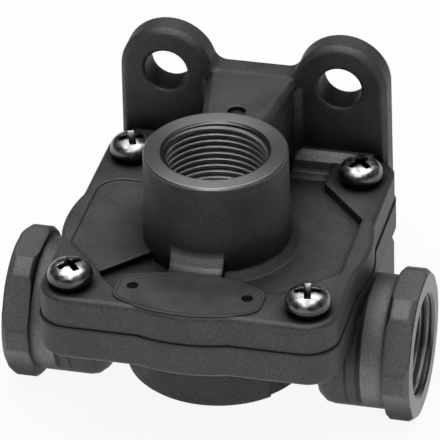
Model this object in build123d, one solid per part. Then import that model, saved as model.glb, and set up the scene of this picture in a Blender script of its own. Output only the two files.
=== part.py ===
from build123d import *
import os
from math import cos, radians, sin, sqrt

# Quick release valve for an air brake, in millimetres.
# The origin is where the vertical axis of the supply port crosses the axis of the two side ports.
# +Z points up out of the supply port, +X out of the right side port, +Y to the mounting plane.

# Flanges of the two castings
flange_half_x = 31.4
flange_front = 31.3
flange_back = 34.0
front_corner_r = 6.8
back_corner_r = 5.0
lobe_r = 32.7
seam_z = 16.0
upper_flange_t = 7.0
lower_flange_t = 7.6
seam_step = 0.3
upper_edge_chamfer = 0.7
lower_edge_chamfer = 0.8

# Screws that hold the castings together
screw_pitch_x = 50.0
screw_pitch_y = 50.0
screw_r = 2.5
screw_length = 16.0
screw_hole_r = 2.75
tapped_fit = 0.05
head_r = 4.75
head_h = 3.7
head_side_h = 1.9
head_bevel = 1.5
cross_width = 1.3
cross_span = 2.4
cross_depth = 1.8
washer_r = 4.1
washer_bore_r = 2.65
washer_t = 1.2
washer_slot_w = 0.5
washer_slot_lean = 20.0

# Screwed ports: thread root radius, depth and mouth
thread_root_r = 11.0
thread_depth = 14.5
mouth_r = 11.5

# Supply port boss on the upper casting
boss_top_z = 42.8
boss_top_r = 15.1
boss_foot_r = 15.5
boss_foot_flare = 1.8
boss_rim_chamfer = 0.35
supply_bore_r = 7.0

# Relief cast into the top of the upper casting
pocket_depth = 2.0
pocket_half_x = 28.6
pocket_back_y = 29.0
screw_pad_x = 17.9
screw_pad_y = 22.3
screw_pad_side_y = 10.2
front_pocket_y = 20.6
rib_left_x = 6.5
rib_right_x = 4.9
rib_foot_h = 4.0
label_depth = 0.3
label_half_x = 29.1
label_back_y = 15.5
label_corner_r = 5.5
label_step_outer = (-20.5, -19.5)
label_step_inner = (-12.0, -10.5)

# Mounting bracket and the web that carries it
bracket_front_y = 32.4
bracket_t = 7.0
bracket_half_x = 29.3
lug_pitch = 38.0
lug_z = 40.5
lug_r = 10.0
lug_hole_r = 4.75
lug_hole_chamfer = 0.3
saddle_z = 41.6
saddle_fillet = 3.0
bracket_front_chamfer = 1.0
bracket_back_chamfer = 1.4
web_top_back_z = 41.6
web_top_front_z = 41.0
web_back_half_x = 9.8
web_front_half_x = 6.2
web_mark_y = 18.3
web_mark_r = 1.9
web_mark_depth = 0.8
web_edge_chamfer = 1.2
web_corner = 1.5
foot_ledge_h = 2.2
foot_ledge_d = 1.7

# Type plate on the front of the upper casting, and its two pins
plate_edge_gap = 0.4
plate_back_gap = 1.6
plate_foot_gap = 0.2
plate_end_h = 7.28
plate_corner_r = 3.4
plate_t = 0.5
plate_pin_off_centre = 0.7
plate_pin_r = 1.2
plate_hole_r = 1.25
plate_pin_length = 3.4
plate_pin_sunk = 0.5

# Diaphragm chamber between the castings
chamber_r = 22.5
chamber_lower_depth = 5.5
seat_z = 14.0
seat_bore_r = 8.0
seat_tube_r = 10.2
channel_r = 17.2
channel_floor_z = -6.0
passage_r = 5.6
passage_wall = 2.2

# Rubber diaphragm: a thick centre and a thinner rim that flexes
diaphragm_r = 21.6
diaphragm_t = 2.3
diaphragm_web_t = 1.6
diaphragm_hub_r = 10.5
diaphragm_lift = 1.9
lift_stop_gap = 0.3
seat_gap = 0.1

# Seal ring in a rebate round the chamber of the lower casting
seal_w = 2.0
seal_gap = 0.2
seal_rebate_d = 1.5

# Side ports: neck, hexagon collar and the passage bosses of the lower casting
port_end_x = 43.8
collar_w = 5.8
collar_across_flats = 30.0
collar_turned_r = 16.15
collar_face_r = 15.2
collar_face_chamfer = 1.3
collar_back_chamfer = 0.7
neck_r = 14.2
neck_inner_x = 23.0
neck_end_round = 3.6

# Exhaust boss with the thicker pad cast on its front
exhaust_z = -8.0
exhaust_r = 19.4
exhaust_pad_r = 20.0
exhaust_pad_from = -157.0
exhaust_pad_to = -45.0
exhaust_edge_chamfer = 0.5

# Feet under the lower casting that reach back to the mounting plane
foot_x = 25.6
foot_w = 7.0
foot_top_z = -1.3
foot_start_y = 4.0

# Places worked out from the sizes above
upper_top_z = seam_z + upper_flange_t
lower_bottom_z = seam_z - lower_flange_t
bracket_back_y = bracket_front_y + bracket_t
pocket_z = upper_top_z - pocket_depth
collar_back_x = port_end_x - collar_w
foot_bottom_z = -collar_across_flats / 2
screw_seat_z = upper_top_z + washer_t
tapped_r = screw_r + tapped_fit
diaphragm_under_z = seat_z + seat_gap
chamber_top_z = diaphragm_under_z + diaphragm_t + diaphragm_lift + lift_stop_gap
ledge_front_y = bracket_front_y - foot_ledge_d
web_front_y = boss_top_r - 4.0
plate_front_r = lobe_r - plate_edge_gap
plate_depth = plate_front_r - boss_foot_r - plate_back_gap
plate_centre_y = plate_front_r - plate_depth / 2
plate_far_y = 2 * plate_centre_y
plate_half_x = sqrt(plate_front_r ** 2 - (plate_centre_y + plate_end_h / 2) ** 2)
plate_pin_x = plate_half_x - plate_corner_r
plate_pin_y = plate_centre_y - plate_pin_off_centre
rib_foot_fillet = plate_back_gap - plate_foot_gap
overshoot = 10.0


def solid(plane_z, height, plan):
    """Extrude a plan upwards from a height."""
    return extrude(Pos(0, 0, plane_z) * plan, height)


def cylinder_z(radius, low, high, x=0.0, y=0.0):
    """A vertical cylinder between two heights, its seam turned away from the side ports."""
    return Pos(x, y, (low + high) / 2) * Rot(0, 0, 90) * Cylinder(radius, high - low)


def cylinder_x(radius, start, end):
    """A cylinder along X between two places."""
    return Pos((start + end) / 2, 0, 0) * Rot(0, 90, 0) * Cylinder(radius, abs(end - start))


def revolved(points):
    """Turn a profile of (radius, height) points about the vertical axis."""
    face = make_face(Polyline(*[(r, 0, z) for r, z in points], close=True))
    return revolve(face, Axis.Z, 360)


def screw_places():
    """Centres of the four housing screws."""
    half_x = screw_pitch_x / 2
    half_y = screw_pitch_y / 2
    return [(side * half_x, end * half_y) for side in (-1, 1) for end in (-1, 1)]


def flange_plan(grow=0.0):
    """The square flange with its round chamber wall standing proud of each side."""
    half_x = flange_half_x + grow
    front = flange_front + grow
    outline = make_face(Polyline((-half_x, -front), (half_x, -front), (half_x, flange_back),
                                 (-half_x, flange_back), close=True))
    corners = outline.vertices().sort_by(Axis.Y)
    outline = fillet(corners[:2], front_corner_r)
    corners = outline.vertices().filter_by(lambda v: v.Y > flange_back - 0.01)
    outline = fillet(corners, back_corner_r)
    return outline + Circle(lobe_r + grow)


def threaded_bore_z(top_z):
    """The void of a screwed port that opens upwards."""
    mouth_depth = mouth_r - thread_root_r
    void = cylinder_z(thread_root_r, top_z - thread_depth, top_z + overshoot)
    cone = revolved([(0, top_z - mouth_depth), (thread_root_r, top_z - mouth_depth),
                     (mouth_r + 1, top_z + 1), (0, top_z + 1)])
    return void + cone


def right_pocket_plan():
    """The relief pocket right of the boss, kept clear of the screw pads."""
    return make_face(Polyline(
        (rib_right_x, -front_pocket_y), (screw_pad_x, -front_pocket_y),
        (pocket_half_x, -screw_pad_side_y), (pocket_half_x, screw_pad_side_y),
        (screw_pad_x, screw_pad_y), (screw_pad_x, ledge_front_y),
        (0, ledge_front_y), (0, 0), (rib_right_x, 0), close=True))


def left_pocket_plan():
    """The relief pocket between the label pad and the front rib."""
    outer_x, outer_y = label_step_outer
    inner_x, inner_y = label_step_inner
    return make_face(Polyline(
        (outer_x, outer_y), (inner_x, inner_y), (inner_x, 0), (-rib_left_x, 0),
        (-rib_left_x, -front_pocket_y), (-plate_half_x - 0.5, -plate_centre_y),
        (outer_x + 1.0, -front_pocket_y - 0.8), close=True))


def label_plan():
    """The shallow flat left of the boss."""
    outer_x, outer_y = label_step_outer
    inner_x, inner_y = label_step_inner
    plan = make_face(Polyline(
        (-label_half_x, label_back_y), (0, label_back_y), (0, 0), (inner_x, 0), (inner_x, inner_y),
        (outer_x, outer_y), (-label_half_x, -screw_pad_side_y), close=True))
    corner = plan.vertices().sort_by_distance((-label_half_x, label_back_y, 0))[0]
    return fillet(corner, label_corner_r)


def plate_plan():
    """The lens-shaped outline of the type plate."""
    front_arc = Circle(plate_front_r)
    back_arc = Pos(0, -plate_far_y) * Circle(plate_front_r)
    ends = Pos(0, -plate_centre_y) * Rectangle(2 * plate_half_x, 2 * plate_half_x)
    lens = front_arc & back_arc & ends
    return fillet(lens.vertices(), plate_corner_r)


def bracket_solid():
    """The mounting plate with its two lugs, rounded all round."""
    half_pitch = lug_pitch / 2
    plate = make_face(Polyline(
        (-bracket_half_x, seam_z), (bracket_half_x, seam_z), (half_pitch + lug_r, lug_z),
        (half_pitch, lug_z), (half_pitch, saddle_z), (-half_pitch, saddle_z),
        (-half_pitch, lug_z), (-half_pitch - lug_r, lug_z), close=True))
    lugs = Pos(half_pitch, lug_z) * Circle(lug_r) + Pos(-half_pitch, lug_z) * Circle(lug_r)
    outline = plate + lugs
    inner_x = half_pitch - sqrt(lug_r ** 2 - (saddle_z - lug_z) ** 2)
    notch = [v for v in outline.vertices()
             if abs(abs(v.X) - inner_x) < 0.05 and abs(v.Y - saddle_z) < 0.05]
    outline = fillet(notch, saddle_fillet)
    plate = extrude(Plane.XZ.offset(-bracket_back_y) * outline, bracket_t)
    faces = ((bracket_front_y, bracket_front_chamfer), (bracket_back_y, bracket_back_chamfer))
    for face_y, size in faces:
        edges = [e for e in plate.edges()
                 if abs(e.center().Y - face_y) < 0.01 and e.center().Z > seam_z + 1]
        plate = chamfer(edges, size)
    return plate


def lug_holes():
    """Bolt holes through the two lugs, broken at their front mouths."""
    holes = []
    middle_y = (bracket_front_y + bracket_back_y) / 2
    for side in (-1, 1):
        centre_x = side * lug_pitch / 2
        hole = Cylinder(lug_hole_r, bracket_t + overshoot)
        hole = Pos(centre_x, middle_y, lug_z) * Rot(90, 0, 0) * hole
        mouth = Cone(lug_hole_r - 1, lug_hole_r + lug_hole_chamfer + 1, lug_hole_chamfer + 2)
        mouth_y = bracket_front_y + lug_hole_chamfer / 2
        holes.append(hole + Pos(centre_x, mouth_y, lug_z) * Rot(90, 0, 0) * mouth)
    return holes


def web_solid():
    """The deep web between the bracket and the supply boss."""
    front_y = web_front_y
    plan = make_face(Polyline(
        (-web_front_half_x, front_y), (web_front_half_x, front_y),
        (web_back_half_x, bracket_front_y + 1), (-web_back_half_x, bracket_front_y + 1), close=True))
    web = solid(seam_z, web_top_back_z - seam_z + 1, plan)
    slope = make_face(Polyline(
        (front_y - 1, web_top_front_z), (bracket_back_y, web_top_back_z),
        (bracket_back_y, web_top_back_z + overshoot), (front_y - 1, web_top_back_z + overshoot),
        close=True))
    web = web - extrude(Plane.YZ * slope, 2 * web_back_half_x, both=True)
    long_edges = [e for e in web.edges()
                  if e.center().Z > web_top_front_z - 0.5 and abs(e.center().X) > web_front_half_x]
    mark = solid(web_top_front_z - web_mark_depth, 2 * web_mark_depth, Pos(0, web_mark_y) * Circle(web_mark_r))
    return chamfer(long_edges, web_edge_chamfer) - mark


def web_corners():
    """The upright corners between the web and the bracket, filled at an angle."""
    taper = (web_back_half_x - web_front_half_x) / (bracket_front_y + 1 - web_front_y)
    side_x = web_back_half_x - taper * (web_corner + 1)
    plan = make_face(Polyline(
        (0, bracket_front_y - web_corner), (side_x, bracket_front_y - web_corner),
        (side_x + web_corner, bracket_front_y), (side_x + web_corner, bracket_front_y + 1),
        (0, bracket_front_y + 1), close=True))
    corner = solid(seam_z, web_top_front_z - web_edge_chamfer - seam_z, plan)
    return corner + mirror(corner, Plane.YZ)


def pocket_slope():
    """The sloping back wall of the right pocket, up to the foot of the bracket."""
    profile = make_face(Polyline(
        (pocket_back_y, pocket_z - 1), (pocket_back_y, pocket_z), (ledge_front_y, upper_top_z),
        (ledge_front_y, pocket_z - 1), close=True))
    return extrude(Plane.YZ * profile, screw_pad_x)


def foot_ledge():
    """The sloping ledge where the bracket runs out into the flange."""
    profile = make_face(Polyline(
        (ledge_front_y, upper_top_z), (bracket_front_y + 1, upper_top_z),
        (bracket_front_y + 1, upper_top_z + foot_ledge_h), (bracket_front_y, upper_top_z + foot_ledge_h),
        close=True))
    return extrude(Plane.YZ * profile, flange_half_x - back_corner_r, both=True)


def boss_solid():
    """The supply boss: a drafted cylinder with its foot flared into the right pocket."""
    foot = boss_foot_flare
    rim = boss_rim_chamfer
    body = revolved([(0, seam_z), (boss_foot_r, seam_z), (boss_foot_r, pocket_z),
                     (boss_top_r, boss_top_z - rim), (boss_top_r - rim, boss_top_z), (0, boss_top_z)])
    ring = revolved([(boss_top_r, pocket_z - 1), (boss_foot_r + foot, pocket_z - 1),
                     (boss_foot_r + foot, pocket_z), (boss_foot_r, pocket_z + foot),
                     (boss_top_r, pocket_z + foot)])
    right_side = Pos(pocket_half_x / 2, 0, pocket_z) * Box(pocket_half_x, 2 * pocket_half_x, 4 * foot)
    return body + (ring & right_side)


def rib_foot():
    """The fillet of the boss over the front rib, which stands at flange height."""
    foot = rib_foot_fillet
    top_z = upper_top_z + rib_foot_h
    ring = revolved([(boss_top_r - 1, upper_top_z), (boss_foot_r + foot, upper_top_z),
                     (boss_foot_r + 0.4 * foot, upper_top_z + 0.25 * rib_foot_h),
                     (boss_foot_r + 0.1 * foot, upper_top_z + 0.55 * rib_foot_h),
                     (boss_top_r, top_z), (boss_top_r - 1, top_z)])
    width = rib_left_x + rib_right_x
    middle_x = (rib_right_x - rib_left_x) / 2
    front = Pos(middle_x, -boss_foot_r, upper_top_z) * Box(width, 2 * boss_foot_r, 4 * rib_foot_h)
    return ring & front


def upper_housing():
    """The upper casting with its flange, boss, bracket and chamber ceiling."""
    casting = solid(seam_z, upper_flange_t, flange_plan())
    rim = [e for e in casting.edges() if abs(e.center().Z - upper_top_z) < 0.01]
    casting = chamfer(rim, upper_edge_chamfer)
    for plan in (right_pocket_plan(), left_pocket_plan()):
        casting = casting - solid(pocket_z, overshoot, plan)
    casting = casting - solid(upper_top_z - label_depth, overshoot, label_plan())
    casting = casting + boss_solid() + rib_foot() + web_solid() + web_corners()
    casting = casting + bracket_solid() + foot_ledge() + pocket_slope()
    casting = casting - threaded_bore_z(boss_top_z)
    casting = casting - cylinder_z(supply_bore_r, seam_z - 1, boss_top_z)
    casting = casting - cylinder_z(chamber_r, seam_z - 1, chamber_top_z)
    for hole in lug_holes():
        casting = casting - hole
    for x, y in screw_places():
        casting = casting - cylinder_z(screw_hole_r, seam_z - 1, upper_top_z + overshoot, x, y)
    for side in (-1, 1):
        pin_bottom_z = upper_top_z + plate_t - plate_pin_sunk - plate_pin_length
        casting = casting - cylinder_z(plate_pin_r, pin_bottom_z, upper_top_z + 1,
                                       side * plate_pin_x, -plate_pin_y)
    return casting


def collar_solid(side):
    """A hexagon collar with its corners turned off and both faces chamfered."""
    hexagon = RegularPolygon(collar_across_flats / 2, 6, major_radius=False, rotation=30)
    collar = extrude(Plane.YZ.offset(collar_back_x) * (Rot(0, 0, 30) * hexagon), collar_w)
    turned = make_face(Polyline(
        (collar_back_x, 0), (collar_back_x, collar_turned_r - collar_back_chamfer),
        (collar_back_x + collar_back_chamfer, collar_turned_r),
        (port_end_x - collar_face_chamfer, collar_turned_r), (port_end_x, collar_face_r),
        (port_end_x, 0), close=True))
    collar = collar & revolve(turned, Axis.X, 360)
    return collar if side > 0 else mirror(collar, Plane.YZ)


def side_port_solid(side):
    """Neck, collar and passage wall of one side port."""
    end = neck_end_round
    arc = [(neck_inner_x + end * (1 - sin(radians(turn))), neck_r - end * (1 - cos(radians(turn))))
           for turn in (90, 55, 25, 0)]
    profile = make_face(Polyline((neck_inner_x, 0), *arc, (collar_back_x, neck_r),
                                 (collar_back_x, 0), close=True))
    neck = revolve(profile, Axis.X, 360)
    pad_h = lower_bottom_z + 1
    outer_r = passage_r + passage_wall
    pad = Circle(outer_r) + Pos(0, pad_h / 2) * Rectangle(2 * outer_r, pad_h)
    passage = extrude(Plane.YZ.offset(channel_r) * pad, neck_inner_x + end - channel_r)
    port = neck + passage
    if side < 0:
        port = mirror(port, Plane.YZ)
    return port + collar_solid(side)


def side_port_void(side):
    """Screwed bore and passage of one side port."""
    mouth_depth = mouth_r - thread_root_r
    bore = cylinder_x(thread_root_r, port_end_x - thread_depth, port_end_x + overshoot)
    passage = cylinder_x(passage_r, seat_tube_r + 1, port_end_x)
    cone = make_face(Polyline((port_end_x - mouth_depth, 0), (port_end_x - mouth_depth, thread_root_r),
                              (port_end_x + 1, mouth_r + 1), (port_end_x + 1, 0), close=True))
    void = bore + passage + revolve(cone, Axis.X, 360)
    return void if side > 0 else mirror(void, Plane.YZ)


def round_boss(radius):
    """The exhaust boss at one radius, broken at its mouth edge."""
    boss = cylinder_z(radius, exhaust_z, lower_bottom_z + 1)
    return chamfer(boss.edges().sort_by(Axis.Z)[0], exhaust_edge_chamfer)


def exhaust_boss():
    """The round exhaust boss with the thicker pad on its front."""
    span = 2 * exhaust_pad_r
    sector = make_face(Polyline(
        (0, 0), (span * cos(radians(exhaust_pad_from)), span * sin(radians(exhaust_pad_from))),
        (0, -2 * span),
        (span * cos(radians(exhaust_pad_to)), span * sin(radians(exhaust_pad_to))), close=True))
    pad = round_boss(exhaust_pad_r) & solid(exhaust_z - 1, lower_bottom_z - exhaust_z + overshoot, sector)
    return round_boss(exhaust_r) + pad


def foot_solid(side):
    """One rear foot: a rib from the side port back to the mounting plane."""
    profile = make_face(Polyline(
        (foot_start_y, foot_bottom_z), (bracket_back_y, foot_bottom_z), (bracket_back_y, foot_top_z),
        (flange_back - 2.5, lower_bottom_z + 1), (foot_start_y, lower_bottom_z + 1), close=True))
    return extrude(Plane.YZ.offset(side * foot_x - foot_w / 2) * profile, foot_w)


def lower_housing():
    """The lower casting with chamber, exhaust seat, two side ports and feet."""
    casting = solid(lower_bottom_z, lower_flange_t, flange_plan(seam_step))
    rim = [e for e in casting.edges() if abs(e.center().Z - lower_bottom_z) < 0.01]
    casting = chamfer(rim, lower_edge_chamfer)
    casting = casting + exhaust_boss()
    for side in (-1, 1):
        casting = casting + foot_solid(side) + side_port_solid(side)
    chamber = cylinder_z(chamber_r, seam_z - chamber_lower_depth, seam_z + 1)
    channel = cylinder_z(channel_r, channel_floor_z, seam_z)
    seat_tube = cylinder_z(seat_tube_r, exhaust_z, seat_z)
    rebate = cylinder_z(chamber_r + seal_w + 2 * seal_gap, seam_z - seal_rebate_d, seam_z + 1)
    voids = chamber + channel + rebate
    for side in (-1, 1):
        voids = voids + side_port_void(side)
    casting = casting - (voids - seat_tube)
    casting = casting - cylinder_z(seat_bore_r, exhaust_z - 1, seam_z + 1)
    for x, y in screw_places():
        casting = casting - cylinder_z(tapped_r, lower_bottom_z - 1, seam_z + 1, x, y)
    return casting


def diaphragm():
    """The rubber disc that closes either the exhaust seat or the supply side."""
    under = diaphragm_under_z
    web_top = under + diaphragm_web_t
    return revolved([(0, under), (diaphragm_r, under), (diaphragm_r, web_top),
                     (diaphragm_hub_r, web_top), (diaphragm_hub_r, under + diaphragm_t),
                     (0, under + diaphragm_t)])


def housing_seal():
    """The seal ring, held between the rebate of the chamber and the upper casting."""
    inner_r = chamber_r + seal_gap
    bottom = seam_z - seal_rebate_d
    return revolved([(inner_r, bottom), (inner_r + seal_w, bottom), (inner_r + seal_w, seam_z),
                     (inner_r, seam_z)])


def pan_screw():
    """One pan-head screw with its cross recess, seated at the origin."""
    screw = revolved([
        (0, -screw_length), (screw_r, -screw_length), (screw_r, 0), (head_r, 0), (head_r, head_side_h),
        (head_r - head_bevel, head_h), (0, head_h)])
    cross = None
    for turn in (0, 90):
        wing = Box(2 * cross_span, cross_width, 2 * cross_depth)
        wing = Pos(0, 0, head_h) * Rot(0, 0, turn) * wing
        cross = wing if cross is None else cross + wing
    return screw - cross


def spring_washer():
    """One split spring washer, pressed flat, resting on the origin."""
    ring = cylinder_z(washer_r, 0, washer_t) - cylinder_z(washer_bore_r, -1, washer_t + 1)
    slot = Box(washer_slot_w, 2 * washer_r, 3 * washer_t)
    return ring - Pos(0, washer_r, washer_t / 2) * Rot(0, washer_slot_lean, 0) * slot


def at_screws(piece, height):
    """The same piece at each of the four screws."""
    return Compound([Pos(x, y, height) * piece for x, y in screw_places()])


def type_plate():
    """The thin plate with its two pin holes."""
    plate = solid(upper_top_z, plate_t, plate_plan())
    for side in (-1, 1):
        plate = plate - cylinder_z(plate_hole_r, seam_z, upper_top_z + overshoot,
                                   side * plate_pin_x, -plate_pin_y)
    return plate


def plate_pins():
    """The two grooved pins that hold the type plate."""
    top_z = upper_top_z + plate_t - plate_pin_sunk
    return Compound([cylinder_z(plate_pin_r, top_z - plate_pin_length, top_z,
                                side * plate_pin_x, -plate_pin_y) for side in (-1, 1)])


nodes = {
    "upper_housing": upper_housing(),
    "lower_housing": lower_housing(),
    "diaphragm": diaphragm(),
    "housing_seal": housing_seal(),
    "cover_screws": at_screws(pan_screw(), screw_seat_z),
    "spring_washers": at_screws(spring_washer(), upper_top_z),
    "type_plate": type_plate(),
    "plate_pins": plate_pins(),
}

os.makedirs("parts", exist_ok=True)
for name, shape in nodes.items():
    export_step(shape, f"parts/{name}.step")
    print(name, round(shape.volume / 1000, 3), "cm3", shape.bounding_box())
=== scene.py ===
import math
import bpy
from mathutils import Matrix, Vector


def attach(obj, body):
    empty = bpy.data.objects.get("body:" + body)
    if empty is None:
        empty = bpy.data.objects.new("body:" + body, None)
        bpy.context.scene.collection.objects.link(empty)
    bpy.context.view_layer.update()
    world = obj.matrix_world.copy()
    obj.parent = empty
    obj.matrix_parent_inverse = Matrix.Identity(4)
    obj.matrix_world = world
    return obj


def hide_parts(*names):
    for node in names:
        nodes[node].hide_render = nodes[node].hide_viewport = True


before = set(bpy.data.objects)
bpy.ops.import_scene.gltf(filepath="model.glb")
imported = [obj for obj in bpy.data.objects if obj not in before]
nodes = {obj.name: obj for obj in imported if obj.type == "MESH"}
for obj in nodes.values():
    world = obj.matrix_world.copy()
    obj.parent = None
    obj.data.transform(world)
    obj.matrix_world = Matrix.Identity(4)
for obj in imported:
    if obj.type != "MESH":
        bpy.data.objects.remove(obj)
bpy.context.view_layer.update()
mm = 0.001
print("frame loaded:", len(nodes), "nodes")

# Camera: where the photograph was taken from, a long lens to the front right and above
camera = {"place": (0.20198, -0.76331, 0.53585), "right": (0.970690, 0.238948, -0.025777),
          "up": (-0.108761, 0.532386, 0.839486), "lens": 369.2, "sensor": 36.0}
lensData = bpy.data.cameras.new("photoLens")
lensData.sensor_fit = "HORIZONTAL"
lensData.sensor_width = camera["sensor"]
lensData.lens = camera["lens"]
lensData.clip_start = 0.05
photoCamera = bpy.data.objects.new("photoCamera", lensData)
right = Vector(camera["right"]).normalized()
up = Vector(camera["up"]).normalized()
turn = Matrix((right, up, right.cross(up))).transposed()
photoCamera.matrix_world = Matrix.Translation(camera["place"]) @ turn.to_4x4()
bpy.context.scene.collection.objects.link(photoCamera)
bpy.context.scene.camera = photoCamera
bpy.context.scene.view_settings.view_transform = "Standard"
print("camera placed")


def toLinear(hexColour):  # sRGB hex to the linear colour that Blender mixes
    parts = [int(hexColour[i:i + 2], 16) / 255 for i in (1, 3, 5)]
    return tuple(c / 12.92 if c <= 0.04045 else ((c + 0.055) / 1.055) ** 2.4 for c in parts) + (1.0,)


def addNode(tree, kind, settings=None, inputs=None):  # a node with its settings, values and links
    node = tree.nodes.new(kind)
    for name, value in (settings or {}).items():
        setattr(node, name, value)
    for socket, value in (inputs or {}).items():
        if isinstance(value, bpy.types.NodeSocket):
            tree.links.new(value, node.inputs[socket])
        else:
            node.inputs[socket].default_value = value
    return node


def startMaterial(name):  # an empty material with its output
    material = bpy.data.materials.new(name)
    material.use_nodes = True
    material.node_tree.nodes.clear()
    return material, material.node_tree


def perMm(size):  # noise scale for a feature of this size in millimetres
    return 1000 / size


# Die-cast aluminium, shot-blasted: dark grey with a fine even grain and soft edges, with painted shade
# darkening its corners and hollows.
# Where a tool has turned it, it is paler, smoother and ringed. Zones are (measure, from, to, blur) in mm.
casting = {"colour": "#585859", "dark": "#4e4e4f", "rim": "#8e8e90", "face": "#666668", "bore": "#68686a",
           "paintedShade": "#0c0c0d", "shadeReach": 12.0, "shadeFrom": 0.4, "shadeTo": 0.95, "markDarkening": 0.5,
           "grain": 0.45, "speckLow": 0.72, "speckHigh": 1.24, "mottle": 7.0, "blur": 0.06,
           "metal": 0.7, "smoothest": 0.48, "roughest": 0.6, "turnedRough": 0.34,
           "edge": 1.1, "turnedEdge": 0.3, "bump": 0.55, "bumpDepth": 0.08,
           "ringPitch": 0.42, "ringBump": 0.35, "ringDepth": 0.05,
           # Painted light among these tones: the neck band, the ledge, the foot of the step and the foot of
           # the rib are painted highlights; the step and the walls of the boss and the exhaust boss are
           # painted shade.
           "tones": {"collar": "#6c6c6e", "collarCorner": "#606062", "neckHighlight": "#848486", "ledgeHighlight": "#acacae",
                     "step": "#222223", "stepFootHighlight": "#b0b0b2", "ribFootHighlight": "#bcbcbe",
                     "bossWallShade": "#444445", "exhaustWallShade": "#464647"},
           "zones": {
               "bossFace": (("height", 42.35, 43.0), ("fromZ", 0.0, 15.2)),
               "portFace": (("side", 43.6, 44.0), ("fromX", 0.0, 16.5)),
               "topBore": (("height", 28.2, 43.0), ("fromZ", 0.0, 11.6)),
               "sideBore": (("side", 29.2, 44.0), ("fromX", 0.0, 11.6)),
               # The neck band: a painted highlight.
               "neckHighlight": (("side", 33.2, 38.0), ("fromX", 13.0, 14.6)),
               "collar": (("side", 37.9, 44.0), ("fromX", 13.0, 18.5)),
               "collarCorner": (("side", 37.9, 44.0), ("fromX", 16.0, 18.5, 0.25)),
               # Painted highlights on the ledge, the step's foot and the rib's foot; painted shade on the
               # step and on the walls of the boss and the exhaust boss.
               "ledgeHighlight": (("across", 8.0, 26.0), ("back", 30.6, 32.9), ("height", 22.6, 24.8)),
               "step": (("across", 6.5, 22.5), ("back", 29.5, 30.6, 0.15), ("height", 21.1, 22.9)),
               "stepFootHighlight": (("across", 9.0, 22.5, 0.6), ("back", 26.2, 29.5, 0.4), ("height", 19.5, 21.1)),
               "ribFootHighlight": (("across", -6.5, 4.9, 0.3), ("fromZ", 15.3, 24.0), ("height", 23.6, 26.8, 1.0)),
               "bossWallShade": (("height", 22.9, 42.1, 0.4), ("fromZ", 13.5, 15.25)),
               "exhaustWallShade": (("height", -8.2, 8.3, 0.1), ("fromZ", 19.2, 20.3)),
               "innerMark": (("side", 29.6, 30.2), ("fromX", 13.0, 14.4)),
               "outerMark": (("side", 32.0, 33.0), ("fromX", 13.0, 14.4))}}


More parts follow.
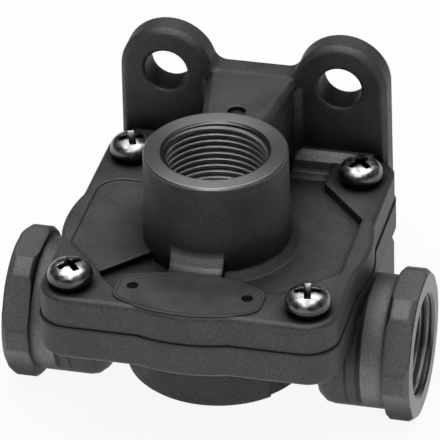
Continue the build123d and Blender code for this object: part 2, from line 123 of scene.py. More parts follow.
def castingMaterial():
    material, tree = startMaterial("dieCastAluminium")
    place = addNode(tree, "ShaderNodeTexCoord").outputs["Object"]
    axes = addNode(tree, "ShaderNodeSeparateXYZ", inputs={0: place}).outputs
    flatZ = addNode(tree, "ShaderNodeCombineXYZ", inputs={0: axes[0], 1: axes[1]}).outputs[0]
    flatX = addNode(tree, "ShaderNodeCombineXYZ", inputs={1: axes[1], 2: axes[2]}).outputs[0]
    where = {"height": axes[2], "across": axes[0], "back": axes[1],
             "side": addNode(tree, "ShaderNodeMath", {"operation": "ABSOLUTE"}, {0: axes[0]}).outputs[0],
             "fromZ": addNode(tree, "ShaderNodeVectorMath", {"operation": "LENGTH"}, {0: flatZ}).outputs[1],
             "fromX": addNode(tree, "ShaderNodeVectorMath", {"operation": "LENGTH"}, {0: flatX}).outputs[1]}
    zone = {}
    for name, limits in casting["zones"].items():  # each mask is 1 inside its zone and 0 outside
        mask = 1.0
        for measure, low, high, *blur in limits:
            middle, half = (low + high) / 2, (high - low) / 2
            blur = blur[0] if blur else casting["blur"]
            offset = addNode(tree, "ShaderNodeMath", {"operation": "SUBTRACT"}, {
                0: where[measure], 1: middle * mm}).outputs[0]
            offset = addNode(tree, "ShaderNodeMath", {"operation": "ABSOLUTE"}, {0: offset}).outputs[0]
            inside = addNode(tree, "ShaderNodeMapRange", {"interpolation_type": "SMOOTHSTEP"}, {
                0: offset, 1: (half - blur) * mm, 2: (half + blur) * mm, 3: 1.0, 4: 0.0}).outputs[0]
            mask = addNode(tree, "ShaderNodeMath", {"operation": "MULTIPLY"}, {0: mask, 1: inside}).outputs[0]
        zone[name] = mask
    joined = {}
    for name, first, second in (("bores", "topBore", "sideBore"), ("faces", "bossFace", "portFace"),
                                ("marks", "innerMark", "outerMark")):
        joined[name] = addNode(tree, "ShaderNodeMath", {"operation": "MAXIMUM"}, {
            0: zone[first], 1: zone[second]}).outputs[0]
    bare = addNode(tree, "ShaderNodeMath", {"operation": "MAXIMUM"}, {
        0: joined["bores"], 1: joined["faces"]}).outputs[0]

    grain = addNode(tree, "ShaderNodeTexNoise", inputs={
        "Vector": place, "Scale": perMm(casting["grain"]), "Detail": 3.0, "Roughness": 0.6}).outputs["Fac"]
    mottle = addNode(tree, "ShaderNodeTexNoise", inputs={
        "Vector": place, "Scale": perMm(casting["mottle"]), "Detail": 4.0, "Roughness": 0.55}).outputs["Fac"]
    tone = addNode(tree, "ShaderNodeMapRange", inputs={
        0: mottle, 1: 0.35, 2: 0.65, 3: 0.0, 4: 1.0}).outputs[0]
    cast = addNode(tree, "ShaderNodeMix", {"data_type": "RGBA"}, {
        0: tone, 6: toLinear(casting["dark"]), 7: toLinear(casting["colour"])}).outputs[2]
    speck = addNode(tree, "ShaderNodeMapRange", inputs={
        0: grain, 1: 0.3, 2: 0.7, 3: casting["speckLow"], 4: casting["speckHigh"]}).outputs[0]
    # Mixes in the tones, which include painted highlights and painted shade.
    for name, shade in casting["tones"].items():
        cast = addNode(tree, "ShaderNodeMix", {"data_type": "RGBA"}, {
            0: zone[name], 6: cast, 7: toLinear(shade)}).outputs[2]
    cast = addNode(tree, "ShaderNodeVectorMath", {"operation": "SCALE"}, {0: cast, "Scale": speck}).outputs[0]
    # Painted shade: ambient occlusion darkens the colour towards near black in corners and hollows.
    openness = addNode(tree, "ShaderNodeAmbientOcclusion", {"samples": 8}, {
        "Distance": casting["shadeReach"] * mm}).outputs["AO"]
    unshaded = addNode(tree, "ShaderNodeMapRange", inputs={
        0: openness, 1: casting["shadeFrom"], 2: casting["shadeTo"], 3: 0.0, 4: 1.0}).outputs[0]
    # Two narrow rings round the neck are darkened further towards the same near-black colour.
    unshaded = addNode(tree, "ShaderNodeMath", {"operation": "MULTIPLY_ADD"}, {
        0: joined["marks"], 1: -casting["markDarkening"], 2: unshaded}).outputs[0]
    cast = addNode(tree, "ShaderNodeMix", {"data_type": "RGBA"}, {
        0: unshaded, 6: toLinear(casting["paintedShade"]), 7: cast}).outputs[2]
    colour = addNode(tree, "ShaderNodeMix", {"data_type": "RGBA"}, {
        0: zone["portFace"], 6: cast, 7: toLinear(casting["face"])}).outputs[2]
    colour = addNode(tree, "ShaderNodeMix", {"data_type": "RGBA"}, {
        0: zone["bossFace"], 6: colour, 7: toLinear(casting["rim"])}).outputs[2]
    colour = addNode(tree, "ShaderNodeMix", {"data_type": "RGBA"}, {
        0: joined["bores"], 6: colour, 7: toLinear(casting["bore"])}).outputs[2]

    castRough = addNode(tree, "ShaderNodeMapRange", inputs={
        0: mottle, 1: 0.3, 2: 0.7, 3: casting["smoothest"], 4: casting["roughest"]}).outputs[0]
    rough = addNode(tree, "ShaderNodeMix", {"data_type": "FLOAT"}, {
        0: bare, 2: castRough, 3: casting["turnedRough"]}).outputs[0]
    metal = addNode(tree, "ShaderNodeMix", {"data_type": "FLOAT"}, {
        0: bare, 2: casting["metal"], 3: 1.0}).outputs[0]

    # Turning marks: rings round the port's axis, drawn coarser than real so that they show
    wave = 2 * math.pi / (casting["ringPitch"] * mm)
    rings = 0.0
    for face, measure in (("bossFace", "fromZ"), ("portFace", "fromX")):
        turns = addNode(tree, "ShaderNodeMath", {"operation": "MULTIPLY"}, {
            0: where[measure], 1: wave}).outputs[0]
        ridge = addNode(tree, "ShaderNodeMath", {"operation": "SINE"}, {0: turns}).outputs[0]
        rings = addNode(tree, "ShaderNodeMath", {"operation": "MULTIPLY_ADD"}, {
            0: ridge, 1: zone[face], 2: rings}).outputs[0]

    castOnly = addNode(tree, "ShaderNodeMath", {"operation": "SUBTRACT"}, {0: 1.0, 1: bare}).outputs[0]
    soft = addNode(tree, "ShaderNodeBevel", {"samples": 8}, {"Radius": casting["edge"] * mm}).outputs[0]
    sharp = addNode(tree, "ShaderNodeBevel", {"samples": 6}, {
        "Radius": casting["turnedEdge"] * mm}).outputs[0]
    edges = addNode(tree, "ShaderNodeMix", {"data_type": "VECTOR"}, {0: bare, 4: soft, 5: sharp}).outputs[1]
    grit = addNode(tree, "ShaderNodeMath", {"operation": "MULTIPLY"}, {
        0: castOnly, 1: casting["bump"]}).outputs[0]
    bumped = addNode(tree, "ShaderNodeBump", inputs={
        "Strength": grit, "Distance": casting["bumpDepth"] * mm, "Height": grain, "Normal": edges}).outputs[0]
    ringBump = addNode(tree, "ShaderNodeBump", inputs={
        "Strength": casting["ringBump"], "Distance": casting["ringDepth"] * mm, "Height": rings,
        "Normal": bumped}).outputs[0]
    shader = addNode(tree, "ShaderNodeBsdfPrincipled", inputs={
        "Base Color": colour, "Metallic": metal, "Roughness": rough, "Normal": ringBump})
    addNode(tree, "ShaderNodeOutputMaterial", inputs={"Surface": shader.outputs[0]})
    return material


# Turned aluminium: the cut thread inside the ports, pale and smooth, with painted shade making the cones of
# the mouths greyer
threadMetal = {"colour": "#b4b4b6", "dark": "#9a9a9c", "mouth": "#646466",
               "shadedMouthHeight": 41.5, "shadedMouthSide": 42.5, "rough": 0.42, "streak": 2.5, "edge": 0.3}


def threadMaterial():
    material, tree = startMaterial("turnedAluminium")
    place = addNode(tree, "ShaderNodeTexCoord").outputs["Object"]
    streak = addNode(tree, "ShaderNodeTexNoise", inputs={
        "Vector": place, "Scale": perMm(threadMetal["streak"]), "Detail": 2.0}).outputs["Fac"]
    rough = addNode(tree, "ShaderNodeMapRange", inputs={
        0: streak, 1: 0.3, 2: 0.7, 3: threadMetal["rough"] - 0.06, 4: threadMetal["rough"] + 0.08}).outputs[0]
    tone = addNode(tree, "ShaderNodeMix", {"data_type": "RGBA"}, {
        0: streak, 6: toLinear(threadMetal["dark"]), 7: toLinear(threadMetal["colour"])}).outputs[2]
    axes = addNode(tree, "ShaderNodeSeparateXYZ", inputs={0: place}).outputs
    side = addNode(tree, "ShaderNodeMath", {"operation": "ABSOLUTE"}, {0: axes[0]}).outputs[0]
    # Painted shade: the cones of the mouths take a darker grey.
    starts = ((axes[2], threadMetal["shadedMouthHeight"]), (side, threadMetal["shadedMouthSide"]))
    mouths = [addNode(tree, "ShaderNodeMath", {"operation": "GREATER_THAN"}, {
        0: reach, 1: start * mm}).outputs[0] for reach, start in starts]
    mouth = addNode(tree, "ShaderNodeMath", {"operation": "MAXIMUM"}, {0: mouths[0], 1: mouths[1]}).outputs[0]
    tone = addNode(tree, "ShaderNodeMix", {"data_type": "RGBA"}, {
        0: mouth, 6: tone, 7: toLinear(threadMetal["mouth"])}).outputs[2]
    rounded = addNode(tree, "ShaderNodeBevel", {"samples": 8}, {
        "Radius": threadMetal["edge"] * mm}).outputs[0]
    bump = addNode(tree, "ShaderNodeBump", inputs={
        "Strength": 0.1, "Distance": 0.03 * mm, "Height": streak, "Normal": rounded}).outputs[0]
    shader = addNode(tree, "ShaderNodeBsdfPrincipled", inputs={
        "Base Color": tone, "Metallic": 1.0, "Roughness": rough, "Normal": bump})
    addNode(tree, "ShaderNodeOutputMaterial", inputs={"Surface": shader.outputs[0]})
    return material


# Zinc-plated steel, barrel plated: bright, clouded in patches, with tiny knocks; painted shade darkens the
# cross recess and the lower flank of each head
zinc = {"colour": "#cacacc", "cloud": "#88888a", "paintedShade": "#0c0c0d",
        "rough": 0.27, "cloudSize": 1.8, "knock": 0.5,
        "shadeReach": 4.0, "shadeFrom": 0.45, "shadeTo": 0.9,
        "flankShade": "#4e4e50", "flankShadeFrom": 25.2, "flankShadeTo": 26.6}


def zincMaterial():
    material, tree = startMaterial("zincPlatedSteel")
    place = addNode(tree, "ShaderNodeTexCoord").outputs["Object"]
    cloud = addNode(tree, "ShaderNodeTexNoise", inputs={
        "Vector": place, "Scale": perMm(zinc["cloudSize"]), "Detail": 3.0}).outputs["Fac"]
    patch = addNode(tree, "ShaderNodeMapRange", inputs={0: cloud, 1: 0.38, 2: 0.6, 3: 0.0, 4: 1.0}).outputs[0]
    knock = addNode(tree, "ShaderNodeTexNoise", inputs={
        "Vector": place, "Scale": perMm(zinc["knock"]), "Detail": 2.0}).outputs["Fac"]
    tone = addNode(tree, "ShaderNodeMix", {"data_type": "RGBA"}, {
        0: patch, 6: toLinear(zinc["cloud"]), 7: toLinear(zinc["colour"])}).outputs[2]
    height = addNode(tree, "ShaderNodeSeparateXYZ", inputs={0: place}).outputs[2]
    # Painted shade: the head's lower flank is darker below a given height.
    bright = addNode(tree, "ShaderNodeMapRange", inputs={
        0: height, 1: zinc["flankShadeFrom"] * mm, 2: zinc["flankShadeTo"] * mm, 3: 0.0, 4: 1.0}).outputs[0]
    tone = addNode(tree, "ShaderNodeMix", {"data_type": "RGBA"}, {
        0: bright, 6: toLinear(zinc["flankShade"]), 7: tone}).outputs[2]
    # Painted shade: ambient occlusion darkens the recess and the foot of the head.
    openness = addNode(tree, "ShaderNodeAmbientOcclusion", {"samples": 8}, {
        "Distance": zinc["shadeReach"] * mm}).outputs["AO"]
    unshaded = addNode(tree, "ShaderNodeMapRange", inputs={
        0: openness, 1: zinc["shadeFrom"], 2: zinc["shadeTo"], 3: 0.0, 4: 1.0}).outputs[0]
    tone = addNode(tree, "ShaderNodeMix", {"data_type": "RGBA"}, {
        0: unshaded, 6: toLinear(zinc["paintedShade"]), 7: tone}).outputs[2]
    rough = addNode(tree, "ShaderNodeMapRange", inputs={
        0: cloud, 1: 0.3, 2: 0.7, 3: zinc["rough"] - 0.05, 4: zinc["rough"] + 0.1}).outputs[0]
    bump = addNode(tree, "ShaderNodeBump", inputs={
        "Strength": 0.2, "Distance": 0.03 * mm, "Height": knock}).outputs[0]
    shader = addNode(tree, "ShaderNodeBsdfPrincipled", inputs={
        "Base Color": tone, "Metallic": 1.0, "Roughness": rough, "Normal": bump})
    addNode(tree, "ShaderNodeOutputMaterial", inputs={"Surface": shader.outputs[0]})
    return material


# Satin aluminium sheet, etched: the type plate, close to the casting's own grey
plateMetal = {"colour": "#59595b", "dark": "#4c4c4e", "metal": 0.6, "rough": 0.42,
              "grain": 0.35, "stain": 4.0}


def plateMaterial():
    material, tree = startMaterial("satinAluminiumSheet")
    place = addNode(tree, "ShaderNodeTexCoord").outputs["Object"]
    grain = addNode(tree, "ShaderNodeTexNoise", inputs={
        "Vector": place, "Scale": perMm(plateMetal["grain"]), "Detail": 3.0}).outputs["Fac"]
    stain = addNode(tree, "ShaderNodeTexNoise", inputs={
        "Vector": place, "Scale": perMm(plateMetal["stain"]), "Detail": 3.0}).outputs["Fac"]
    tone = addNode(tree, "ShaderNodeMix", {"data_type": "RGBA"}, {
        0: stain, 6: toLinear(plateMetal["dark"]), 7: toLinear(plateMetal["colour"])}).outputs[2]
    rough = addNode(tree, "ShaderNodeMapRange", inputs={
        0: stain, 1: 0.3, 2: 0.7, 3: plateMetal["rough"] - 0.05, 4: plateMetal["rough"] + 0.08}).outputs[0]
    bump = addNode(tree, "ShaderNodeBump", inputs={
        "Strength": 0.2, "Distance": 0.04 * mm, "Height": grain}).outputs[0]
    shader = addNode(tree, "ShaderNodeBsdfPrincipled", inputs={
        "Base Color": tone, "Metallic": plateMetal["metal"], "Roughness": rough, "Normal": bump})
    addNode(tree, "ShaderNodeOutputMaterial", inputs={"Surface": shader.outputs[0]})
    return material


# Blackened steel: the plate's drive pins and the spring washers, dull and dark
blackened = {"colour": "#1c1c1d", "dark": "#0e0e0f", "metal": 0.9, "scale": 0.4,
             "smoothest": 0.4, "roughest": 0.55}


def pinMaterial():
    material, tree = startMaterial("blackenedSteel")
    place = addNode(tree, "ShaderNodeTexCoord").outputs["Object"]
    scale = addNode(tree, "ShaderNodeTexNoise", inputs={
        "Vector": place, "Scale": perMm(blackened["scale"]), "Detail": 2.0}).outputs["Fac"]
    tone = addNode(tree, "ShaderNodeMix", {"data_type": "RGBA"}, {
        0: scale, 6: toLinear(blackened["dark"]), 7: toLinear(blackened["colour"])}).outputs[2]
    rough = addNode(tree, "ShaderNodeMapRange", inputs={
        0: scale, 1: 0.3, 2: 0.7, 3: blackened["smoothest"], 4: blackened["roughest"]}).outputs[0]
    shader = addNode(tree, "ShaderNodeBsdfPrincipled", inputs={
        "Base Color": tone, "Metallic": blackened["metal"], "Roughness": rough})
    addNode(tree, "ShaderNodeOutputMaterial", inputs={"Surface": shader.outputs[0]})
    return material


# Nitrile rubber, compression moulded: black, matt, with a faint bloom
nitrile = {"colour": "#161617", "bloom": "#262627", "bloomSize": 3.0, "skin": 0.3,
           "smoothest": 0.5, "roughest": 0.68}


def rubberMaterial():
    material, tree = startMaterial("nitrileRubber")
    place = addNode(tree, "ShaderNodeTexCoord").outputs["Object"]
    bloom = addNode(tree, "ShaderNodeTexNoise", inputs={
        "Vector": place, "Scale": perMm(nitrile["bloomSize"]), "Detail": 4.0}).outputs["Fac"]
    skin = addNode(tree, "ShaderNodeTexNoise", inputs={
        "Vector": place, "Scale": perMm(nitrile["skin"]), "Detail": 2.0}).outputs["Fac"]
    tone = addNode(tree, "ShaderNodeMix", {"data_type": "RGBA"}, {
        0: bloom, 6: toLinear(nitrile["colour"]), 7: toLinear(nitrile["bloom"])}).outputs[2]
    rough = addNode(tree, "ShaderNodeMapRange", inputs={
        0: bloom, 1: 0.3, 2: 0.7, 3: nitrile["smoothest"], 4: nitrile["roughest"]}).outputs[0]
    bump = addNode(tree, "ShaderNodeBump", inputs={
        "Strength": 0.2, "Distance": 0.03 * mm, "Height": skin}).outputs[0]
    shader = addNode(tree, "ShaderNodeBsdfPrincipled", inputs={
        "Base Color": tone, "Metallic": 0.0, "Roughness": rough, "Normal": bump})
    addNode(tree, "ShaderNodeOutputMaterial", inputs={"Surface": shader.outputs[0]})
    return material


castAluminium = castingMaterial()
turnedAluminium = threadMaterial()
zincSteel = zincMaterial()
satinSheet = plateMaterial()
blackSteel = pinMaterial()
rubber = rubberMaterial()
finishes = {"upper_housing": castAluminium, "lower_housing": castAluminium, "diaphragm": rubber,
            "housing_seal": rubber, "cover_screws": zincSteel, "spring_washers": blackSteel,
            "type_plate": satinSheet, "plate_pins": blackSteel}
for name, material in finishes.items():
    nodes[name].data.materials.clear()
    nodes[name].data.materials.append(material)
print("materials made:", len(bpy.data.materials))


def deselectAll():
    if bpy.context.object and bpy.context.object.mode != "OBJECT":
        bpy.ops.object.mode_set(mode="OBJECT")
    bpy.ops.object.select_all(action="DESELECT")


def pick(piece):  # makes this the only selected object
    deselectAll()
    piece.select_set(True)
    bpy.context.view_layer.objects.active = piece


def selectFaces(piece, test):  # selects the faces that pass the test, in edit mode
    bpy.ops.object.mode_set(mode="OBJECT")
    for part in (piece.data.vertices, piece.data.edges, piece.data.polygons):
        part.foreach_set("select", [False] * len(part))
    for face in piece.data.polygons:
        face.select = test(face)
    bpy.ops.object.mode_set(mode="EDIT")
    bpy.ops.mesh.select_mode(type="FACE")


def applyModifier(piece, kind, **settings):
    modifier = piece.modifiers.new(kind.lower(), kind)
    for name, value in settings.items():
        setattr(modifier, name, value)
    pick(piece)
    bpy.ops.object.modifier_apply(modifier=modifier.name)


def settle(piece, material, angle=32):  # place into the mesh, shading, finish, and its body
    pick(piece)
    bpy.ops.object.transform_apply(location=True, rotation=True, scale=True)
    bpy.ops.object.mode_set(mode="EDIT")
    bpy.ops.mesh.select_all(action="SELECT")
    bpy.ops.mesh.normals_make_consistent(inside=False)
    bpy.ops.object.mode_set(mode="OBJECT")
    bpy.ops.object.shade_smooth_by_angle(angle=math.radians(angle))
    piece.data.materials.clear()
    piece.data.materials.append(material)
    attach(piece, "housing")
    deselectAll()


def copyOf(piece, name):  # a copy with its own mesh
    twin = piece.copy()
    twin.data = piece.data.copy()
    twin.name = name
    twin.data.name = name
    bpy.context.scene.collection.objects.link(twin)
    return twin


# M22 x 1.5 thread of the three ports: one ridge wound from a flat profile, its crest cut away by
# the mouth's cone
thread = {"rootR": 11.03, "crestR": 10.3, "pitch": 1.5, "rootHalf": 0.7, "crestHalf": 0.3,
          "mouthR": 11.5, "gap": 0.02, "turns": 9, "partTurn": 0.3, "steps": 72,
          "mouths": {"threadSupply": ("Z", 42.8, 1), "threadRight": ("X", 43.8, 1),
                     "threadLeft": ("X", 43.8, -1)}}


def woundThread(name):
    deselectAll()
    bpy.ops.mesh.primitive_plane_add(size=1 * mm, location=(0, 0, 0))
    ridge = bpy.context.object
    ridge.name = ridge.data.name = name
    low = -(thread["turns"] + thread["partTurn"]) * thread["pitch"]
    corners = [(thread["rootR"], low - thread["rootHalf"]), (thread["crestR"], low - thread["crestHalf"]),
               (thread["rootR"], low + thread["rootHalf"]), (thread["crestR"], low + thread["crestHalf"])]
    for vertex, (radius, height) in zip(ridge.data.vertices, corners):
        vertex.co = (radius * mm, 0, height * mm)
    bpy.ops.object.mode_set(mode="EDIT")
    bpy.ops.mesh.select_all(action="SELECT")
    bpy.ops.mesh.delete(type="ONLY_FACE")
    bpy.ops.object.mode_set(mode="OBJECT")
    applyModifier(ridge, "SCREW", axis="Z", screw_offset=thread["pitch"] * mm, iterations=thread["turns"],
                  steps=thread["steps"], render_steps=thread["steps"], use_merge_vertices=False,
                  use_normal_calculate=True)
    bpy.ops.object.mode_set(mode="EDIT")
    bpy.ops.mesh.select_mode(type="EDGE")
    bpy.ops.mesh.select_all(action="DESELECT")
    bpy.ops.mesh.select_non_manifold(extend=False)
    bpy.ops.mesh.fill_holes(sides=4)
    bpy.ops.object.mode_set(mode="OBJECT")
    for vertex in ridge.data.vertices:  # the cone at the mouth
        x, y, z = vertex.co
        radius = math.hypot(x, y)
        least = thread["mouthR"] * mm + z + thread["gap"] * mm
        if radius < least:
            vertex.co.x, vertex.co.y = x * least / radius, y * least / radius
        vertex.co.z = min(z, -thread["gap"] * mm)
    return ridge


firstThread = woundThread("threadModel")
for name, (axis, reach, way) in thread["mouths"].items():
    ridge = copyOf(firstThread, name)
    if axis == "Z":
        ridge.data.transform(Matrix.Translation((0, 0, reach * mm)))
    else:
        ridge.data.transform(Matrix.Rotation(math.radians(90 * way), 4, "Y"))
        ridge.data.transform(Matrix.Translation((way * reach * mm, 0, 0)))
    settle(ridge, turnedAluminium, 25)
bpy.data.objects.remove(firstThread)
print("threads wound")

# Pan-head screws with a cross recess, M5
screw = {"pitchX": 25.0, "pitchY": 25.0, "seat": 24.2, "segments": 64, "shankR": 2.5, "length": 15.9,
         "head": [(4.35, 0.0), (4.68, 0.25), (4.75, 0.8), (4.7, 1.35), (4.5, 1.95), (4.1, 2.55), (3.5, 3.05),
                  (2.7, 3.42), (1.7, 3.63), (0.8, 3.69)],
         "recess": 2.5, "wingLong": 3.15, "wingThick": 0.72, "wingTipLong": 1.4, "wingTipThick": 0.5,
         "centre": [(0.5, -2.5), (0.95, -1.9), (1.2, 0.51)], "tip": 0.5, "bevel": 0.09, "merge": 0.004,
         "turns": {"FrontLeft": 45, "FrontRight": 12, "BackLeft": 20, "BackRight": 50}}


def turnedSolid(name, profile, segments, place=(0, 0, 0)):  # a closed form: a circle drawn up its profile
    deselectAll()
    radius, height = profile[0]
    bpy.ops.mesh.primitive_circle_add(vertices=segments, radius=radius * mm, fill_type="NGON",
                                      location=(place[0], place[1], place[2] + height * mm))
    form = bpy.context.object
    form.name = form.data.name = name
    bpy.ops.object.mode_set(mode="EDIT")
    bpy.ops.mesh.select_all(action="SELECT")
    for nextRadius, nextHeight in profile[1:]:
        bpy.ops.mesh.extrude_region_move(TRANSFORM_OT_translate={"value": (0, 0, (nextHeight - height) * mm)})
        grow = nextRadius / radius
        centre = (place[0], place[1], place[2] + nextHeight * mm)
        bpy.ops.transform.resize(value=(grow, grow, 1), center_override=centre)
        radius, height = nextRadius, nextHeight
    bpy.ops.object.mode_set(mode="OBJECT")
    pick(form)
    bpy.ops.object.transform_apply(location=True, rotation=True, scale=True)
    return form


def recessWing(turnAngle):  # one tapered wing of the cross punch
    deselectAll()
    top = screw["head"][-1][1]
    bpy.ops.mesh.primitive_cube_add(size=2 * mm, location=(0, 0, 0))
    wing = bpy.context.object
    for vertex in wing.data.vertices:
        x, y, z = (1 if c > 0 else -1 for c in vertex.co)
        if z > 0:
            corner = (x * (screw["wingLong"] + 0.25), y * (screw["wingThick"] + 0.06), top + 0.5)
        else:
            corner = (x * screw["wingTipLong"], y * screw["wingTipThick"], top - screw["recess"])
        vertex.co = [c * mm for c in corner]
    wing.data.transform(Matrix.Rotation(math.radians(turnAngle), 4, "Z"))
    return wing


def panScrew():
    profile = [(screw["shankR"] - screw["tip"], -screw["length"]),
               (screw["shankR"], screw["tip"] - screw["length"]),
               (screw["shankR"], -0.001)] + screw["head"]
    form = turnedSolid("screwModel", profile, screw["segments"])
    for angle in (0, 90):
        wing = recessWing(angle)
        applyModifier(form, "BOOLEAN", operation="DIFFERENCE", object=wing, solver="EXACT")
        bpy.data.objects.remove(wing)
    top = screw["head"][-1][1]
    centre = turnedSolid("recessCentre", [(radius, top + height) for radius, height in screw["centre"]], 24)
    applyModifier(form, "BOOLEAN", operation="DIFFERENCE", object=centre, solver="EXACT")
    bpy.data.objects.remove(centre)
    applyModifier(form, "BEVEL", width=screw["bevel"] * mm, segments=2, limit_method="ANGLE",
                  angle_limit=math.radians(40))
    bpy.ops.object.mode_set(mode="EDIT")
    bpy.ops.mesh.select_all(action="SELECT")
    bpy.ops.mesh.remove_doubles(threshold=screw["merge"] * mm)
    bpy.ops.mesh.dissolve_degenerate(threshold=screw["merge"] * mm)
    bpy.ops.object.mode_set(mode="OBJECT")
    return form


screwModel = panScrew()
for name, angle in screw["turns"].items():
    piece = copyOf(screwModel, "coverScrew" + name)
    x = screw["pitchX"] * (1 if "Right" in name else -1) * mm
    y = screw["pitchY"] * (1 if "Back" in name else -1) * mm
    piece.data.transform(Matrix.Rotation(math.radians(angle), 4, "Z"))
    piece.data.transform(Matrix.Translation((x, y, screw["seat"] * mm)))
    settle(piece, zincSteel, 40)
    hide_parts("cover_screws")
bpy.data.objects.remove(screwModel)
print("cover screws made")

# Type plate: a thin lens with a raised edge, bare, held by two sunk pins
plate = {"arcR": 32.3, "farY": 49.4, "endX": 12.1, "cornerR": 3.4, "under": 23.0, "thick": 0.5,
         "rimIn": 0.35, "rimW": 0.45, "rimH": 0.16, "rimSlope": 0.1,
         "pinX": 12.1, "pinY": -24.0, "holeR": 1.25, "sink": 0.3}


def plateOutline():  # the lens with rounded ends, as points in order
    innerR = plate["arcR"] - plate["cornerR"]
    half = math.asin(plate["endX"] / innerR)
    frontY = -innerR * math.cos(half)
    backY = -plate["farY"] - frontY
    points = []

    def corner(centreX, centreY, start, end):
        for step in range(13):
            angle = start + (end - start) * step / 12
            points.append((centreX + plate["cornerR"] * math.cos(angle),
                           centreY + plate["cornerR"] * math.sin(angle)))

    def arc(centreY, start, end):
        for step in range(1, 32):
            angle = start + (end - start) * step / 32
            points.append((plate["arcR"] * math.cos(angle), centreY + plate["arcR"] * math.sin(angle)))

    down, upward = -math.pi / 2, math.pi / 2
    corner(plate["endX"], frontY, down + half, 0)
    corner(plate["endX"], backY, 0, upward - half)
    arc(-plate["farY"], upward - half, upward + half)
    corner(-plate["endX"], backY, upward + half, math.pi)
    corner(-plate["endX"], frontY, math.pi, math.pi + upward - half)
    arc(0, down - half, down + half)
    return points


def typePlate():
    points = plateOutline()
    deselectAll()
    bpy.ops.mesh.primitive_circle_add(vertices=len(points), radius=10 * mm, fill_type="NGON",
                                      location=(0, 0, 0))
    form = bpy.context.object
    form.name = form.data.name = "typePlateBare"
    for vertex, (x, y) in zip(form.data.vertices, points):
        vertex.co = (x * mm, y * mm, plate["under"] * mm)
    bpy.ops.object.mode_set(mode="EDIT")
    bpy.ops.mesh.select_all(action="SELECT")
    rise = plate["thick"] - plate["rimH"]
    bpy.ops.mesh.extrude_region_move(TRANSFORM_OT_translate={"value": (0, 0, rise * mm)})
    topZ = (plate["under"] + rise) * mm
    selectFaces(form, lambda face: abs(face.center.z - topZ) < 1e-6 and face.normal.z > 0.9)
    bpy.ops.mesh.inset(thickness=plate["rimIn"] * mm, depth=0)
    bpy.ops.mesh.inset(thickness=plate["rimSlope"] * mm, depth=plate["rimH"] * mm)
    bpy.ops.mesh.inset(thickness=(plate["rimW"] - 2 * plate["rimSlope"]) * mm, depth=0)
    bpy.ops.mesh.inset(thickness=plate["rimSlope"] * mm, depth=-plate["rimH"] * mm)
    bpy.ops.object.mode_set(mode="OBJECT")
    hole = [(plate["holeR"], plate["under"] - 1), (plate["holeR"], plate["under"] + 0.9),
            (plate["holeR"] + plate["sink"], plate["under"] + 0.9 + plate["sink"])]
    for side in (-1, 1):
        punch = turnedSolid("punch", hole, 40, (side * plate["pinX"] * mm, plate["pinY"] * mm, 0))
        applyModifier(form, "BOOLEAN", operation="DIFFERENCE", object=punch, solver="EXACT")
        bpy.data.objects.remove(punch)
    return form


plateForm = typePlate()
settle(plateForm, satinSheet, 25)
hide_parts("type_plate")
print("type plate made")

# Studio: a pale bench, a broad soft light overhead and a weaker one in front; the bench shows a painted pool
# of light in reflections
studio = {"floorZ": -15.0, "bench": "#e6e6e6", "benchSize": 6.0, "benchLevel": 0.92,
          "paintedPool": {"centre": (0.03, -0.02, 0), "from": 0.07, "to": 0.19, "inside": 1.0, "outside": 0.12},
          "wall": {"from": -0.02, "to": 0.1, "foot": 0.6, "top": 0.05}, "room": 0.1,
          "lights": {"overhead": ((0.01, 0.08, 0.72), (0.0, 0.0, 0.0), 0.85, 6.0),
                     "frontFill": ((0.02, -0.48, 0.66), (0.0, 0.0, 0.0), 0.4, 1.3)}}
deselectAll()
bpy.ops.mesh.primitive_plane_add(size=studio["benchSize"], location=(0, 0, studio["floorZ"] * mm))
bench = bpy.context.object
bench.name = "bench"
benchPaint, tree = startMaterial("paleBenchPaint")
lookedAt = addNode(tree, "ShaderNodeLightPath").outputs
plain = addNode(tree, "ShaderNodeBsdfDiffuse", inputs={"Color": toLinear(studio["bench"])}).outputs[0]
white = addNode(tree, "ShaderNodeEmission", inputs={"Color": (1, 1, 1, 1), "Strength": 1.0}).outputs[0]
spread = addNode(tree, "ShaderNodeVectorMath", {"operation": "DISTANCE"}, {
    0: addNode(tree, "ShaderNodeTexCoord").outputs["Object"], 1: studio["paintedPool"]["centre"]}).outputs["Value"]
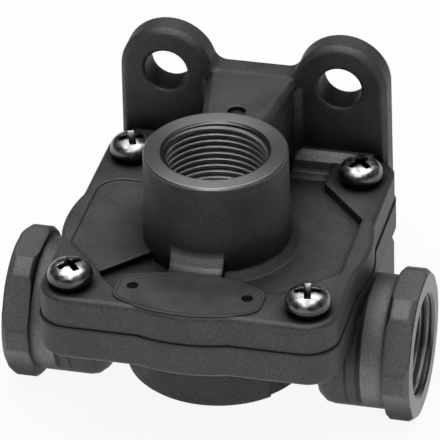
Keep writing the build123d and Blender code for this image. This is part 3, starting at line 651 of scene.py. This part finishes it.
# A painted pool of light: metal mirrors the bench bright near the valve and dark further off
paintedPool = addNode(tree, "ShaderNodeMapRange", inputs={
    0: spread, 1: studio["paintedPool"]["from"], 2: studio["paintedPool"]["to"],
    3: studio["paintedPool"]["inside"], 4: studio["paintedPool"]["outside"]}).outputs[0]
mirrored = addNode(tree, "ShaderNodeMath", {"operation": "MULTIPLY"}, {
    0: lookedAt["Is Glossy Ray"], 1: paintedPool}).outputs[0]
straight = addNode(tree, "ShaderNodeMath", {"operation": "MAXIMUM"}, {
    0: lookedAt["Is Camera Ray"], 1: lookedAt["Is Transmission Ray"]}).outputs[0]
direct = addNode(tree, "ShaderNodeMath", {"operation": "MAXIMUM"}, {0: straight, 1: mirrored}).outputs[0]
share = addNode(tree, "ShaderNodeMath", {"operation": "MULTIPLY"}, {
    0: direct, 1: studio["benchLevel"]}).outputs[0]
seen = addNode(tree, "ShaderNodeMixShader", inputs={0: share, 1: plain, 2: white}).outputs[0]
addNode(tree, "ShaderNodeOutputMaterial", inputs={"Surface": seen})
bench.data.materials.append(benchPaint)

for name, (place, aim, size, power) in studio["lights"].items():
    lamp = bpy.data.lights.new(name, "AREA")
    lamp.shape = "SQUARE"
    lamp.size = size
    lamp.energy = power
    lampObject = bpy.data.objects.new(name, lamp)
    facing = (Vector(aim) - Vector(place)).to_track_quat("-Z", "Y").to_matrix().to_4x4()
    lampObject.matrix_world = Matrix.Translation(place) @ facing
    bpy.context.scene.collection.objects.link(lampObject)

room = bpy.data.worlds.new("room")
bpy.context.scene.world = room
room.use_nodes = True
tree = room.node_tree
tree.nodes.clear()
rays = addNode(tree, "ShaderNodeLightPath").outputs
height = addNode(tree, "ShaderNodeSeparateXYZ", inputs={
    0: addNode(tree, "ShaderNodeTexCoord").outputs["Generated"]}).outputs[2]
wall = addNode(tree, "ShaderNodeMapRange", inputs={
    0: height, 1: studio["wall"]["from"], 2: studio["wall"]["to"],
    3: studio["wall"]["foot"], 4: studio["wall"]["top"]}).outputs[0]
mirrored = addNode(tree, "ShaderNodeMix", {"data_type": "FLOAT"}, {
    0: rays["Is Glossy Ray"], 2: studio["room"], 3: wall}).outputs[0]
straight = addNode(tree, "ShaderNodeMath", {"operation": "MAXIMUM"}, {
    0: rays["Is Camera Ray"], 1: rays["Is Transmission Ray"]}).outputs[0]
strength = addNode(tree, "ShaderNodeMix", {"data_type": "FLOAT"}, {
    0: straight, 2: mirrored, 3: 1.0}).outputs[0]
sky = addNode(tree, "ShaderNodeBackground", inputs={"Color": (1, 1, 1, 1), "Strength": strength}).outputs[0]
addNode(tree, "ShaderNodeOutputWorld", inputs={"Surface": sky})
print("studio lit")
